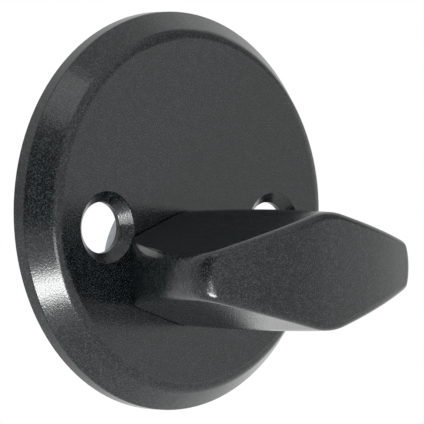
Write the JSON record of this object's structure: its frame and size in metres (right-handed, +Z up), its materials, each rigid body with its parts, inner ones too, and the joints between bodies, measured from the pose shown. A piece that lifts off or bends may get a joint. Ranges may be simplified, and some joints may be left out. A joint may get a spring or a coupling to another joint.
{
  "type": "thumb turn",
  "caption": "Thumb turn on a round rose for the inside of a door lock, with a flared lozenge grip, a snap-ringed spindle and a sprung flat tailpiece.",
  "frame": {"origin": "where the turn's axis crosses the face of the door", "axes": "+Z up, +Y along the turn's axis into the door, +X to the right seen from the room"},
  "size_m": [0.067, 0.0728, 0.067],
  "materials": {
    "painted_zinc": "satin charcoal powder paint with a fine speckle on die-cast zinc, bare inside the hub",
    "acetal": "moulded, semi-matt",
    "zinc_plated_steel": "bright zinc plated",
    "spring_steel": "oiled dark spring steel"
  },
  "bodies": {
    "rose": {"rose_plate": "painted_zinc", "bearing_bush": "acetal"},
    "turn": {"thumb_turn": "painted_zinc", "flat_washer": "zinc_plated_steel", "wave_washer": "spring_steel", "retaining_ring": "spring_steel", "tailpiece_pin": "spring_steel", "tailpiece_spring": "spring_steel"},
    "tailpiece": {"tailpiece": "zinc_plated_steel"}
  },
  "joints": [
    {"name": "turn", "type": "hinge", "parent": "rose", "child": "turn", "pos_m": [0, 0, 0], "axis": [0, 1, 0], "continuous": true},
    {"name": "tailpiece_slide", "type": "slide", "parent": "turn", "child": "tailpiece", "axis": [0, -1, 0], "range_m": [0, 0.004], "stiffness_N_per_m": 1070, "springref_m": -0.002, "deforming": ["tailpiece_spring"]}
  ]
}
